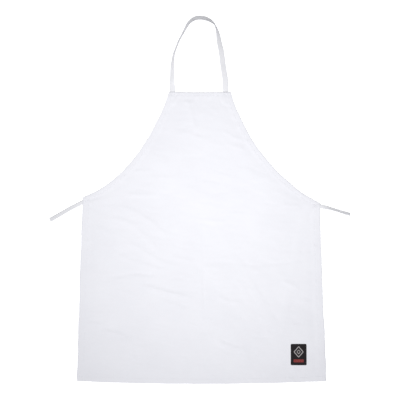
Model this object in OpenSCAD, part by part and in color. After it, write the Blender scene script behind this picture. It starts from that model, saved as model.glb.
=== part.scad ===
// Butcher apron, laid flat on its back with the neck towards +Y and the face up.
// The origin is on the table, at the centre of the whole footprint, close to the waist line.

/* [Cloth] */
// Thickness of the cloth and of the tape
cloth_t = 0.6; // [0.4:0.1:1]
// Width across the waist corners
waist_w = 702; // [640:1:760]
// Width across the bottom corners
bottom_w = 738; // [705:1:800]
// Width of the bib's top edge
bib_top_w = 184; // [180:1:230]
// Height of the bib's top edge above the origin
bib_top_y = 320; // [280:1:340]
// Depth of the bottom edge below the origin, at its middle
bottom_y = 544; // [520:1:600]
// Rise of the bottom corners above the middle of the bottom edge
bottom_rise = 8; // [0:1:15]
// Half the width of the ellipse that each armhole follows
armhole_r = 494; // [430:1:700]
// How many times taller than wide that ellipse is
armhole_tall = 1.13; // [1:0.01:1.3]

/* [Hems] */
// Width of the top hem
top_hem_w = 12; // [9:1:18]
// Width of the armhole hems
armhole_hem_w = 14; // [8:1:18]
// Width of the side hems
side_hem_w = 20; // [10:1:24]
// Width of the bottom hem
bottom_hem_w = 16; // [10:1:24]

/* [Tapes] */
// Width of the neck strap's tape
strap_w = 17; // [12:1:20]
// Length of each strap end under the bib
strap_end_l = 26; // [20:1:34]
// Width of the waist ties' tape
tie_w = 12; // [10:1:14]
// Length of each tie end sewn behind the waist corner
tie_end_l = 25; // [20:1:30]
// Full length of each waist tie
tie_l = 900; // [860:5:940]

/* [Label] */
// Width of the label
label_w = 47; // [30:1:60]
// Height of the label
label_h = 63; // [40:1:80]
// Sideways place of the label's centre
label_x = 287; // [200:1:300]
// Place of the label's centre along the skirt
label_y = -457; // [-480:1:-300]

/* [Thread] */
// Height and width of a row of stitches
thread_t = 0.3; // [0.2:0.05:0.5]

/* [Hidden] */

$fn = 128;

white = [0.96, 0.96, 0.99];
thread_white = [0.88, 0.88, 0.92];
label_black = [0.08, 0.07, 0.08];
emblem_grey = [0.62, 0.60, 0.60];

// A folded hem is two cloths thick and lies on the table, and the panels lie on the hems.
hem_t = 2 * cloth_t;
panel_z = hem_t;
face_z = panel_z + cloth_t;

// The bib folds here, just above the ties.
fold_y = 10;
waist_y = -6;
waist_x = waist_w / 2;
bib_x = bib_top_w / 2;
bottom_x = bottom_w / 2;
corner_y = bottom_rise - bottom_y;

// Centre of the armhole ellipse, which passes through the bib corner and the waist corner. It is
// found on the circle that the ellipse is stretched from.
chord = [waist_x - bib_x, (waist_y - bib_top_y) / armhole_tall];
chord_l = norm(chord);
centre_off = sqrt(armhole_r * armhole_r - chord_l * chord_l / 4);
armhole_x = (waist_x + bib_x) / 2 - chord.y / chord_l * centre_off;
armhole_y = (waist_y + bib_top_y) / 2 + armhole_tall * chord.x / chord_l * centre_off;
armhole_top_a = atan2((bib_top_y - armhole_y) / armhole_tall, bib_x - armhole_x);
armhole_low_a = atan2((waist_y - armhole_y) / armhole_tall, waist_x - armhole_x);
armhole_steps = 40;

// A point of the armhole curve, or of the curve that runs beside it at a distance d into the cloth
function armhole_point(i, d) =
    let (
        a = armhole_top_a + (armhole_low_a - armhole_top_a) * i / armhole_steps,
        n = [armhole_tall * cos(a), sin(a)]
    )
    [armhole_x + armhole_r * cos(a), armhole_y + armhole_r * armhole_tall * sin(a)] + d * n / norm(n);

// Half the panel's width at a height y of the skirt's side edge
function side_x(y) = waist_x + (bottom_x - waist_x) * (waist_y - y) / (waist_y - corner_y);
// Height of the bottom edge at a distance x from the middle
function bottom_edge(x) = bottom_rise * x * x / bottom_x / bottom_x - bottom_y;

bottom_steps = 12;
function bottom_curve(x1, rise) = [
    for (i = [-bottom_steps : bottom_steps])
        let (x = x1 * i / bottom_steps) [x, bottom_edge(x) + rise]
];

// How far inside the folded edge a row of stitches runs
stitch_in = 1.5;
// How far the rows of stitches stop short of the fold and of each other
stitch_gap = 3;

// Strap roots, where the neck strap leaves the bib
root_x = 79;
strap_hinge_y = bib_top_y + 0.5;

// Neck strap: x, y relative to the strap's hinge line, and roll, where 0 is flat and 90 is on edge
// with the face outwards.
strap_route = [
    [-79, 0, 0], [-79, 15, 10], [-79, 35, 30], [-78, 60, 42], [-77.5, 82, 50], [-76, 96, 60],
    [-71, 119, 66], [-60, 148.5, 67], [-45, 176, 62], [-30, 202, 50], [-12, 216.5, 36],
    [7, 218.5, 34], [25, 214, 40], [39, 205, 56], [47, 196, 70], [53, 182, 60], [57, 165, 42],
    [61, 143, 26], [67.5, 110, 16], [73.5, 70, 10], [78, 30, 4], [79, 0, 0]
];
strap_steps = 3;

// Waist ties: the side edge that they leave, the tips where they fold back, and the cut ends' route
tie_hinge_x = waist_x + 1;
tie_root_y = -14;
left_tip = [-444, -59];
right_tip = [444, -42];
tail_route = [
    [352, -14], [340, -10], [326, -9], [313, -15], [305, -30], [300, -60], [232, -400]
];
tail_end_dir = [-0.5, 0.87];

function tie_out(tip) = norm(tip - [sign(tip.x) * tie_hinge_x, tie_root_y]);
function route_l(r, i = 0) = i >= len(r) - 1 ? 0 : norm(r[i + 1] - r[i]) + route_l(r, i + 1);

// Catmull-Rom points along a route, with its own corners kept
function curve_point(p0, p1, p2, p3, t) =
    0.5 * (2 * p1 + (p2 - p0) * t + (2 * p0 - 5 * p1 + 4 * p2 - p3) * t * t
        + (3 * p1 - p0 - 3 * p2 + p3) * t * t * t);
function smooth_route(r, steps) = [
    for (i = [0 : len(r) - 2], s = [0 : steps - 1])
        curve_point(r[max(i - 1, 0)], r[i], r[i + 1], r[min(i + 2, len(r) - 1)], s / steps),
    r[len(r) - 1]
];

// Direction along a route of [x, y, ...] points at its point i
function heading(r, i) =
    let (a = r[max(i - 1, 0)], b = r[min(i + 1, len(r) - 1)], d = [b.x - a.x, b.y - a.y])
    d / norm(d);

// The four corners of a tape's section with its centre at c, heading h and roll angle
function tape_ring(c, h, roll, w, t) =
    let (
        out = [-h.y, h.x, 0],
        across = cos(roll) * out - sin(roll) * [0, 0, 1],
        face = sin(roll) * out + cos(roll) * [0, 0, 1]
    )
    [
        c + across * w / 2 + face * t / 2,
        c - across * w / 2 + face * t / 2,
        c - across * w / 2 - face * t / 2,
        c + across * w / 2 - face * t / 2
    ];

// A closed tape through rings of four points. Opposite walls are split along the same diagonal, so
// that a twisted tape keeps its thickness.
module tape(rings) {
    n = len(rings);
    walls = [
        for (i = [0 : n - 2], k = [0 : 3])
            let (a = 4 * i + k, b = 4 * i + (k + 1) % 4)
            each k < 2
                ? [[a, a + 4, b], [b, a + 4, b + 4]]
                : [[a, a + 4, b + 4], [a, b + 4, b]]
    ];
    last = 4 * (n - 1);
    caps = [[0, 1, 2], [0, 2, 3], [last + 2, last + 1, last], [last + 3, last + 2, last]];
    polyhedron(points = [for (r = rings) each r], faces = concat(walls, caps), convexity = 10);
}

module slab(z, t) {
    translate([0, 0, z]) linear_extrude(t) children();
}

// Everything on the far side of the right armhole, or of the curve at a distance d inside it
module right_armhole(d) {
    curve = [for (i = [-2 : armhole_steps + 2]) armhole_point(i, d)];
    last = curve[len(curve) - 1];
    polygon(concat(
        curve,
        [[2 * waist_x, last.y], [2 * waist_x, 2 * bib_top_y], [curve[0].x, 2 * bib_top_y]]
    ));
}

module armholes() {
    right_armhole(0);
    mirror([1, 0]) right_armhole(0);
}

// The part of the band between y0 and y1
module band(y0, y1) {
    translate([-bottom_x, y0]) square([2 * bottom_x, y1 - y0]);
}

module skirt_outline() {
    difference() {
        polygon(concat(
            bottom_curve(bottom_x, 0),
            [[waist_x, waist_y], [waist_x, fold_y], [-waist_x, fold_y], [-waist_x, waist_y]]
        ));
        armholes();
    }
}

module bib_outline() {
    difference() {
        translate([-waist_x, fold_y]) square([waist_w, bib_top_y - fold_y]);
        armholes();
    }
}

module skirt_panel() {
    color(white) slab(panel_z, cloth_t) skirt_outline();
}

module bib_panel() {
    color(white) slab(panel_z, cloth_t) bib_outline();
}

module bottom_hem_flat(rise) {
    inner = bottom_curve(bottom_x, rise);
    polygon(concat(bottom_curve(bottom_x, 0), [for (i = [len(inner) - 1 : -1 : 0]) inner[i]]));
}

module bottom_hem() {
    color(white) slab(0, hem_t) intersection() {
        bottom_hem_flat(bottom_hem_w);
        skirt_outline();
    }
}

// The side hems stop below the waist ties.
side_hem_top = -32;

module right_side_strip(inset, w, y0, y1) {
    polygon([
        [side_x(y0) - inset, y0], [side_x(y1) - inset, y1],
        [side_x(y1) - inset - w, y1], [side_x(y0) - inset - w, y0]
    ]);
}

module right_side_hem_flat() {
    difference() {
        right_side_strip(0, side_hem_w, corner_y + bottom_hem_w / 2, side_hem_top);
        bottom_hem_flat(bottom_hem_w);
    }
}

module right_side_hem() {
    color(white) slab(0, hem_t) right_side_hem_flat();
}

module left_side_hem() {
    color(white) slab(0, hem_t) mirror([1, 0]) right_side_hem_flat();
}

module strap_end_flat(s) {
    translate([s * root_x - strap_w / 2, strap_hinge_y - strap_end_l]) square([strap_w, strap_end_l]);
}

module top_hem_flat() {
    intersection() {
        band(bib_top_y - top_hem_w, bib_top_y);
        bib_outline();
    }
}

module top_hem() {
    color(white) difference() {
        slab(0, hem_t) top_hem_flat();
        slab(cloth_t, 2 * cloth_t) {
            strap_end_flat(-1);
            strap_end_flat(1);
        }
    }
}

// The armhole hem is the strip just inside the armhole curve, between the fold and the top hem.
module right_armhole_hem_flat() {
    intersection() {
        difference() {
            right_armhole(armhole_hem_w);
            right_armhole(0);
        }
        translate([0, fold_y]) square([waist_x, bib_top_y - top_hem_w - fold_y]);
    }
}

// The strap ends reach below the top hem, and the armhole hems leave them room.
module armhole_hem(s) {
    color(white) difference() {
        slab(0, hem_t) mirror([s < 0 ? 1 : 0, 0]) right_armhole_hem_flat();
        slab(cloth_t, 2 * cloth_t) strap_end_flat(s);
    }
}

module left_armhole_hem() {
    armhole_hem(-1);
}

module right_armhole_hem() {
    armhole_hem(1);
}

// The strap lies in the hem at its roots and comes down to the table a little further on.
strap_drop_l = 20;
function strap_lift(y) = cloth_t * max(0, 1 - y / strap_drop_l);

function strap_ring(r, i, n) =
    let (
        p = r[i],
        at_root = i == 0 || i == n - 1,
        h = at_root ? [0, i == 0 ? 1 : -1] : heading(r, i),
        half = strap_w / 2 * abs(sin(p.z)) + cloth_t / 2 * abs(cos(p.z))
    )
    tape_ring([p.x, strap_hinge_y + p.y, half + strap_lift(p.y)], h, p.z, strap_w, cloth_t);

module neck_strap() {
    r = smooth_route(strap_route, strap_steps);
    n = len(r);
    color(white) tape([for (i = [0 : n - 1]) strap_ring(r, i, n)]);
}

module strap_end(s) {
    color(white) slab(cloth_t, cloth_t) strap_end_flat(s);
}

module neck_strap_left_end() {
    strap_end(-1);
}

module neck_strap_right_end() {
    strap_end(1);
}

// The visible stub of a tie: two pressed layers of tape, folded at the tip
module tie_stub(tip) {
    s = sign(tip.x);
    root = [s * tie_hinge_x, tie_root_y];
    along = (tip - root) / norm(tip - root);
    across = [-along.y, along.x] * tie_w / 2;
    skew = [0, s * tie_w / 2 / abs(along.x)];
    color(white) slab(0, hem_t) polygon([root + skew, root - skew, tip - across, tip + across]);
}

module left_tie() {
    tie_stub(left_tip);
}

module right_tie() {
    tie_stub(right_tip);
}

module tie_end_flat(s) {
    translate([s > 0 ? tie_hinge_x - tie_end_l : -tie_hinge_x, tie_root_y - tie_w / 2])
        square([tie_end_l, tie_w]);
}

module left_tie_end() {
    color(white) slab(cloth_t, cloth_t) tie_end_flat(-1);
}

module right_tie_end() {
    color(white) slab(cloth_t, cloth_t) tie_end_flat(1);
}

// The hidden run goes in under the sewn end, down the skirt to a flat fold, and back up over itself.
module tie_tail(tip) {
    s = sign(tip.x);
    down = [for (p = tail_route) [p.x, p.y]];
    fold = down[len(down) - 1];
    up_l = tie_l - tie_end_l - 2 * tie_out(tip) - route_l(down);
    up = tail_end_dir / norm(tail_end_dir);
    n = len(down);
    low = cloth_t / 2;
    high = low + cloth_t;
    lead = (fold - down[n - 2]) / norm(fold - down[n - 2]);
    over = fold + lead * tie_w / 2;
    color(white) mirror([s < 0 ? 1 : 0, 0, 0]) union() {
        tape([
            for (i = [0 : n - 1])
                tape_ring(
                    [i == n - 1 ? over.x : down[i].x, i == n - 1 ? over.y : down[i].y, low],
                    i == 0 ? [-1, 0] : heading(down, i), 0, tie_w, cloth_t)
        ]);
        tape([
            for (a = [0, up_l])
                let (c = fold + up * (a - (a == 0 ? tie_w / 2 : 0)))
                tape_ring([c.x, c.y, high], up, 0, tie_w, cloth_t)
        ]);
    }
}

module left_tie_tail() {
    tie_tail(left_tip);
}

module right_tie_tail() {
    tie_tail(right_tip);
}

label_t = 0.6;
label_r = 2;

module label_flat(inset) {
    translate([label_x, label_y]) difference() {
        square([label_w - 2 * inset, label_h - 2 * inset], center = true);
        for (sx = [-1, 1], sy = [-1, 1])
            translate([sx * (label_w / 2 - inset), sy * (label_h / 2 - inset)])
            difference() {
                square(2 * label_r, center = true);
                translate([-sx * label_r, -sy * label_r]) circle(r = label_r);
            }
    }
}

module label() {
    color(label_black) slab(face_z, label_t) label_flat(0);
}

// Raised pattern: two nested diamonds over a band
emblem_t = 0.15;
diamond_h = 34;
diamond_w = 30;
diamond_line = 3;
diamond_y = 8;
band_y = -19;
band_h = 8;
band_margin = 8;

module diamond(w, h) {
    polygon([[w / 2, 0], [0, h / 2], [-w / 2, 0], [0, -h / 2]]);
}

module label_emblem() {
    color(emblem_grey) slab(face_z + label_t, emblem_t) translate([label_x, label_y]) {
        translate([0, diamond_y]) {
            difference() {
                diamond(diamond_w, diamond_h);
                diamond(diamond_w - 2 * diamond_line, diamond_h - 2 * diamond_line);
            }
            diamond(diamond_w / 3, diamond_h / 3);
        }
        translate([0, band_y]) square([label_w - 2 * band_margin, band_h], center = true);
    }
}

module label_stitching() {
    color(label_black) slab(face_z + label_t, thread_t) difference() {
        label_flat(stitch_in);
        label_flat(stitch_in + thread_t);
    }
}

module top_hem_stitching() {
    y = bib_top_y - top_hem_w + stitch_in;
    color(thread_white) slab(face_z, thread_t) intersection() {
        band(y, y + thread_t);
        bib_outline();
    }
}

module armhole_stitching(s) {
    d = armhole_hem_w - stitch_in;
    y0 = fold_y + stitch_gap;
    y1 = bib_top_y - top_hem_w;
    color(thread_white) slab(face_z, thread_t) mirror([s < 0 ? 1 : 0, 0]) intersection() {
        difference() {
            right_armhole(d);
            right_armhole(d - thread_t);
        }
        translate([0, y0]) square([waist_x, y1 - y0]);
    }
}

module left_armhole_stitching() {
    armhole_stitching(-1);
}

module right_armhole_stitching() {
    armhole_stitching(1);
}

module side_stitching(s) {
    y0 = corner_y + bottom_hem_w;
    color(thread_white) slab(face_z, thread_t) mirror([s < 0 ? 1 : 0, 0])
        right_side_strip(side_hem_w - stitch_in, thread_t, y0, side_hem_top);
}

module left_side_stitching() {
    side_stitching(-1);
}

module right_side_stitching() {
    side_stitching(1);
}

module bottom_hem_stitching() {
    rise = bottom_hem_w - stitch_in;
    low = bottom_curve(bottom_x, rise - thread_t);
    high = bottom_curve(bottom_x, rise);
    color(thread_white) slab(face_z, thread_t) intersection() {
        polygon(concat(low, [for (i = [len(high) - 1 : -1 : 0]) high[i]]));
        skirt_outline();
    }
}

// A closed rectangle of stitches
module box_stitch(w, h) {
    difference() {
        square([w, h], center = true);
        square([w - 2 * thread_t, h - 2 * thread_t], center = true);
    }
}

tack_in = 2;

module strap_tack(s) {
    h = top_hem_w - 2 * tack_in - 2 * thread_t;
    color(thread_white) slab(face_z, thread_t)
        translate([s * root_x, bib_top_y - tack_in - h / 2 + thread_t])
        box_stitch(strap_w - 2 * tack_in, h);
}

module left_strap_tack() {
    strap_tack(-1);
}

module right_strap_tack() {
    strap_tack(1);
}

module tie_tack(s) {
    l = tie_end_l - 3 * tack_in;
    color(thread_white) slab(face_z, thread_t)
        translate([s * (tie_hinge_x - tie_end_l / 2 - tack_in), tie_root_y])
        box_stitch(l, tie_w - 2 * tack_in);
}

module left_tie_tack() {
    tie_tack(-1);
}

module right_tie_tack() {
    tie_tack(1);
}

skirt_panel();
bib_panel();
bottom_hem();
left_side_hem();
right_side_hem();
top_hem();
left_armhole_hem();
right_armhole_hem();
neck_strap();
neck_strap_left_end();
neck_strap_right_end();
left_tie();
right_tie();
left_tie_end();
right_tie_end();
left_tie_tail();
right_tie_tail();
label();
label_emblem();
label_stitching();
top_hem_stitching();
left_armhole_stitching();
right_armhole_stitching();
left_side_stitching();
right_side_stitching();
bottom_hem_stitching();
left_strap_tack();
right_strap_tack();
left_tie_tack();
right_tie_tack();
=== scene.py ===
"""The butcher apron, laid flat on its back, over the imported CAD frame.

Lengths are in metres, unless a comment says mm.
"""

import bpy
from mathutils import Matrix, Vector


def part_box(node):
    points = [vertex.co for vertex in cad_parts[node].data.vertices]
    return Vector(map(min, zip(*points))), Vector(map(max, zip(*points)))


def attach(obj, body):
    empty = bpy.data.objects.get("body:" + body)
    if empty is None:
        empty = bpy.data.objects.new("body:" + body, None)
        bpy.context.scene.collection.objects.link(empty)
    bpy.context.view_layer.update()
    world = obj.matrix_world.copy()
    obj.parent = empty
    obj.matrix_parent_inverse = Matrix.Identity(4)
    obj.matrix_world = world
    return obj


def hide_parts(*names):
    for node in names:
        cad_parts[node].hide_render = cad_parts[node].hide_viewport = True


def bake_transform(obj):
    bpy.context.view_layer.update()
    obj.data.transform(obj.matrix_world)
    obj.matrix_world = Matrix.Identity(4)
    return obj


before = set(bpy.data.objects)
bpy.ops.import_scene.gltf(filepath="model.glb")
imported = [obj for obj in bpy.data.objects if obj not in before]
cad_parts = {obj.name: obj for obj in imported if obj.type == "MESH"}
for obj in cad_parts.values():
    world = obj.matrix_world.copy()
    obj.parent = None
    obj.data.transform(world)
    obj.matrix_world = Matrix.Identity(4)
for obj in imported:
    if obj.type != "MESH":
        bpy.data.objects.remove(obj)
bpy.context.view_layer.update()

import math

import bpy
import numpy as np
from mathutils import Vector

SEED = 7
MM = 0.001

# ---- Sizes read from the frame ----

CLOTH_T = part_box("skirt_panel")[1].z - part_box("skirt_panel")[0].z
HEM_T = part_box("bottom_hem")[1].z
TOP_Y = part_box("bib_panel")[1].y
TOP_HEM_W = TOP_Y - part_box("top_hem")[0].y
STRAP_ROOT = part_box("neck_strap_right_end")
STRAP_W = STRAP_ROOT[1].x - STRAP_ROOT[0].x
STRAP_END_L = STRAP_ROOT[1].y - STRAP_ROOT[0].y
STRAP_HINGE_Y = STRAP_ROOT[1].y
TIE_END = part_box("right_tie_end")
TIE_W = TIE_END[1].y - TIE_END[0].y
TIE_END_L = TIE_END[1].x - TIE_END[0].x
TIE_HINGE_X = TIE_END[1].x
TIE_ROOT_Y = (TIE_END[0].y + TIE_END[1].y) / 2
LABEL_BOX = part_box("label")


def corners_of(*nodes):
    """The right-hand vertices of some flat CAD nodes, as an array of x and y."""
    found = {
        (round(v.co.x, 6), round(v.co.y, 6))
        for node in nodes
        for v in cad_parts[node].data.vertices
        if v.co.x > 0
    }
    return np.array(sorted(found, key=lambda p: p[1]))


def ellipse_through(points):
    """Centre and half-axes of the upright ellipse that runs closest to some points."""
    x, y = points.T
    a, c, d, e = np.linalg.lstsq(np.stack([x * x, y * y, x, y], 1), np.ones(len(x)), rcond=None)[0]
    centre = np.array([-d / (2 * a), -e / (2 * c)])
    size = 1 + a * centre[0] ** 2 + c * centre[1] ** 2
    return centre, np.sqrt(np.array([size / a, size / c]))


OUTLINE = corners_of("skirt_panel", "bib_panel")
WIDEST = int(np.argmax(OUTLINE[:, 0]))
CORNER_X, CORNER_Y = OUTLINE[WIDEST]
BOTTOM_EDGE = OUTLINE[: WIDEST + 1]
BOTTOM_Y = float(BOTTOM_EDGE[:, 1].min())
BIB_EDGE = corners_of("bib_panel")
ARM_C, ARM_R = ellipse_through(BIB_EDGE)
SIDE_EDGE = OUTLINE[WIDEST:]
WAIST_X, WAIST_Y = SIDE_EDGE[1]
SIDE_SLOPE = (CORNER_X - WAIST_X) / (WAIST_Y - CORNER_Y)
SIDE_HEM_W = float(np.ptp(corners_of("right_side_hem")[-2:, 0]))
BOTTOM_HEM_W = float(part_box("bottom_hem")[1].y - CORNER_Y)


def in_from_armhole(x, y):
    """Distance into the cloth from the armhole's curve."""
    u, v = (np.abs(x) - ARM_C[0]) / ARM_R[0], (y - ARM_C[1]) / ARM_R[1]
    q = np.hypot(u, v)
    return (q - 1) * q / np.hypot(u / ARM_R[0], v / ARM_R[1])


def armhole_angle(x, y):
    """The ellipse's own angle for a point, from the waist corner to the bib's top."""
    a = math.atan2((y - ARM_C[1]) / ARM_R[1], (x - ARM_C[0]) / ARM_R[0])
    return a if a < 0 else a - 2 * math.pi


def armhole_curve(angle, inset):
    """Points of the right armhole's curve, or of the curve beside it at some inset."""
    nx, ny = np.cos(angle) / ARM_R[0], np.sin(angle) / ARM_R[1]
    size = np.hypot(nx, ny)
    return (ARM_C[0] + ARM_R[0] * np.cos(angle) + inset * nx / size,
            ARM_C[1] + ARM_R[1] * np.sin(angle) + inset * ny / size)


ARM_HEM_W = float(max(in_from_armhole(*p) for p in corners_of("right_armhole_hem")))
ARM_LOW = armhole_angle(WAIST_X, WAIST_Y)
ARM_TOP = armhole_angle(*BIB_EDGE[-1])


# ---- Smooth noise ----

def ease(t):
    """A smooth step from 0 to 1."""
    t = np.clip(t, 0, 1)
    return t * t * (3 - 2 * t)


LINE_N, PLANE_N = 512, 64       # random values along a line, and each way over the plane


def wobble(s, step, seed):
    """Smooth noise from -1 to 1 along one line, with a new value about every step."""
    values = np.random.default_rng(SEED + seed).uniform(-1, 1, LINE_N)
    t = np.asarray(s, float) / step + 200
    i = np.floor(t).astype(int)
    w = ease(t - i)
    return values[i % LINE_N] * (1 - w) + values[(i + 1) % LINE_N] * w


def ripple(x, y, step_x, step_y, tilt, seed):
    """Smooth gradient noise over the plane, about -1 to 1, drawn out along a tilted direction."""
    c, s = math.cos(tilt), math.sin(tilt)
    u, v = (x * c + y * s) / step_x + 300, (-x * s + y * c) / step_y + 300
    angle = np.random.default_rng(SEED + seed).uniform(0, 2 * math.pi, (PLANE_N, PLANE_N))
    iu, iv = np.floor(u).astype(int), np.floor(v).astype(int)
    fu, fv = u - iu, v - iv
    total = 0
    for du in (0, 1):
        for dv in (0, 1):
            a = angle[(iu + du) % PLANE_N, (iv + dv) % PLANE_N]
            slope = np.cos(a) * (fu - du) + np.sin(a) * (fv - dv)
            wu = ease(fu) if du else 1 - ease(fu)
            wv = ease(fv) if dv else 1 - ease(fv)
            total = total + slope * wu * wv
    return 1.6 * total


def to_line(x, y, points):
    """Distance to a polyline, and the share of its length at the nearest point."""
    best = np.full(np.shape(x), 1e9)
    share = np.zeros(np.shape(x))
    lengths = [math.dist(a, b) for a, b in zip(points, points[1:])]
    gone = 0.0
    for (ax, ay), (bx, by), span in zip(points, points[1:], lengths):
        t = np.clip(((x - ax) * (bx - ax) + (y - ay) * (by - ay)) / span**2, 0, 1)
        d = np.hypot(x - ax - t * (bx - ax), y - ay - t * (by - ay))
        near = d < best
        share = np.where(near, (gone + t * span) / sum(lengths), share)
        best = np.minimum(best, d)
        gone += span
    return best, share


# The strap's free loop, as in the CAD: x, y past the hinge line, and roll in degrees
STRAP_ROUTE = [
    (-0.079, 0, 0), (-0.079, 0.015, 10), (-0.079, 0.035, 30), (-0.078, 0.060, 42), (-0.0775, 0.082, 50),
    (-0.076, 0.096, 60), (-0.071, 0.119, 66), (-0.060, 0.1485, 67), (-0.045, 0.176, 62),
    (-0.030, 0.202, 50), (-0.012, 0.2165, 36), (0.007, 0.2185, 34), (0.025, 0.214, 40),
    (0.039, 0.205, 56), (0.047, 0.196, 70), (0.053, 0.182, 60), (0.057, 0.165, 42), (0.061, 0.143, 26),
    (0.0675, 0.110, 16), (0.0735, 0.070, 10), (0.078, 0.030, 4), (0.079, 0, 0),
]
STRAP_ROOT_X = STRAP_ROUTE[-1][0]
STRAP_DROP_L = 0.020    # how far out the strap comes down off the bib's hem
SEWN_ROWS = 9           # rows of the mesh in each sewn end
STRAP_STAND = 0.5 * MM  # how far it stands off the table past STRAP_AWAY, give or take as much
STRAP_AWAY = 30 * MM
STRAP_SKEW = -0.0022    # how far the whole strap lies to one side of the bib's middle

TIE_LENGTH = 0.900
TIE_TIPS = {"left": (-0.444, -0.059), "right": (0.444, -0.042)}
TIE_ROLL = {"left": 14, "right": 47}     # degrees each tie leans over on its way out
TIE_LEAN_START = 0.3    # share of that lean at the edge, low so that the tie can fold over the cloth
TIE_LEAN_REACH = 32 * MM    # how far out the lean is complete
TIE_DROP = {"left": 6.0 * MM, "right": 0.5 * MM}     # how far each leaves the edge below its seat
TIE_STEP = 8 * MM       # the spacing of the rows of its mesh
TIE_GAP = 6 * MM        # what a row after a bend leaves free for it
TIE_SWAY = 0.8 * MM     # how far it wanders from side to side on its way out
TIE_PART = 0.7 * MM     # how far its two layers part toward the tip
TIP_ROWS = 11           # rows round the fold at its tip
TIP_BULGE = 1.3         # how far that fold bulges out, as a share of half its height
# The hidden run of a right-hand tie, as in the CAD: from the root in, down, and back up
TAIL_ROUTE = [
    (0.352, -0.014), (0.340, -0.010), (0.326, -0.009), (0.313, -0.015), (0.305, -0.030),
    (0.300, -0.060), (0.232, -0.400),
]
TAIL_FOLLOWS = (0.6, 0.3)       # share of the root's shift that the next two points follow
TAIL_UP = np.array([-0.5, 0.87])
TAIL_BACK = 0.36        # about how far the tie runs back up from its lowest point


# ---- The cloth's surface: flat cut to laid cloth ----

# How far the cloth leans to the right, at shares of its length up from the bottom
LEAN_AT = (0, 0.15, 0.33, 0.5, 0.63, 0.7, 0.753, 0.81, 0.9, 1, 1.03)
LEAN = np.array([4.8, 4.6, 3.0, 3.2, 3.6, 2.2, 0.6, -1.4, -1.6, -0.6, -1.4]) * MM
SAG = 1.0 * MM          # how far the middle of the top edge sags
SAG_REACH, SAG_HALF_W = 50 * MM, 90 * MM    # how far down that sag reaches, and to each side
WAVER_IN = 12 * MM      # how quickly an edge's waver fades inward
SIDE_WAVER, END_WAVER = (0.9 * MM, 22 * MM), (0.5 * MM, 30 * MM)    # its size and step
CORNER_SKEW = 7.0 * MM  # how far the waist lies out of square, up at the left and down at the right
SKEW_REACH = 0.09
CORNER_LIFT = {-1: 5.5 * MM, 1: 2.5 * MM}   # how far each waist corner is pulled up beyond that
LIFT_REACH = 0.035

# Creases in the face: points along each, in the flat cut, then height and half-width in mm
CREASES = [
    ([(-0.041, 0.304), (-0.030, 0.278), (-0.021, 0.243), (-0.008, 0.192)], 1.4, 7),
    ([(-0.052, 0.292), (-0.030, 0.288), (-0.012, 0.290)], 1.4, 5),
    ([(-0.108, 0.270), (-0.112, 0.235), (-0.122, 0.178)], -1.2, 7),
    ([(-0.261, -0.015), (-0.193, -0.041), (-0.134, -0.077), (-0.095, -0.118)], 0.8, 6),
    ([(-0.261, -0.056), (-0.208, -0.077), (-0.154, -0.118), (-0.119, -0.166)], 0.9, 7),
    ([(-0.243, -0.107), (-0.178, -0.148), (-0.119, -0.184), (-0.060, -0.201)], 0.9, 7),
    ([(-0.252, -0.163), (-0.193, -0.184), (-0.119, -0.207)], 0.8, 6),
    ([(-0.225, 0.012), (-0.160, 0.010), (-0.105, 0.016)], 0.9, 7),
    ([(-0.276, -0.228), (-0.193, -0.216), (-0.104, -0.225)], -0.8, 6),
    ([(-0.012, -0.184), (0.073, -0.184), (0.162, -0.192), (0.251, -0.184), (0.325, -0.172)], -0.9, 5),
    ([(-0.178, -0.252), (-0.119, -0.269), (-0.030, -0.290)], 1.6, 5),
    ([(0.044, -0.284), (0.082, -0.302), (0.128, -0.306)], 1.0, 6),
    ([(0.006, -0.040), (0.007, -0.190)], -0.4, 3),
    ([(0.008, -0.200), (0.008, -0.332)], -0.9, 2.6),
    ([(0.064, 0.207), (0.103, 0.184), (0.147, 0.172)], 1.0, 6),
    ([(0.073, 0.169), (0.141, 0.148)], 0.9, 6),
    ([(-0.297, -0.385), (-0.237, -0.400), (-0.208, -0.429)], 1.1, 7),
    ([(0.029, -0.414), (0.103, -0.438), (0.147, -0.450)], 0.9, 6),
    ([(-0.119, -0.296), (-0.045, -0.326)], 0.8, 6),
    ([(0.236, -0.237), (0.295, -0.266)], 0.7, 6),
    ([(-0.215, 0.078), (-0.176, 0.086), (-0.140, 0.082)], 1.0, 6),
]

# Creases that a hem holds stiffly, so that they keep their full height
HEM_CREASES = [
    ([(-0.336, -0.014), (-0.314, -0.003), (-0.292, 0.009)], -1.1, 3),
    ([(0.278, 0.020), (0.296, 0.007)], -0.8, 2.4),
    ([(0.288, 0.026), (0.308, 0.012)], 0.7, 2.6),
    ([(-0.326, -0.040), (-0.329, -0.200)], -0.5, 6),
    ([(0.336, -0.044), (0.345, -0.062)], -0.6, 2.6),
    ([(0.334, -0.084), (0.346, -0.101)], -0.7, 2.6),
    ([(0.337, -0.122), (0.348, -0.138)], -0.6, 2.6),
    ([(0.336, -0.160), (0.347, -0.178)], -0.7, 2.6),
    ([(0.331, -0.330), (0.352, -0.352)], -0.7, 3),
    ([(-0.340, -0.395), (-0.322, -0.405)], -0.6, 3),
]
SMALL_CREASES = 170
SMALL_HALF_L = (10 * MM, 40 * MM)       # the least and most of half their length
SMALL_RISE, SMALL_W = (0.2, 0.6), (2.6, 5.2)    # and of their height and half-width in mm
SMALL_IN = 30 * MM      # how far their middles keep from the top and the bottom
# The skirt's creases are deeper than the bib's: how many times deeper, at places up the apron
CREASE_AT = (-0.5, -0.3, -0.15, 0.02, 0.1, 0.3)
CREASE_BY = (2.8, 2.1, 1.5, 1.1, 0.7, 0.6)


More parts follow.
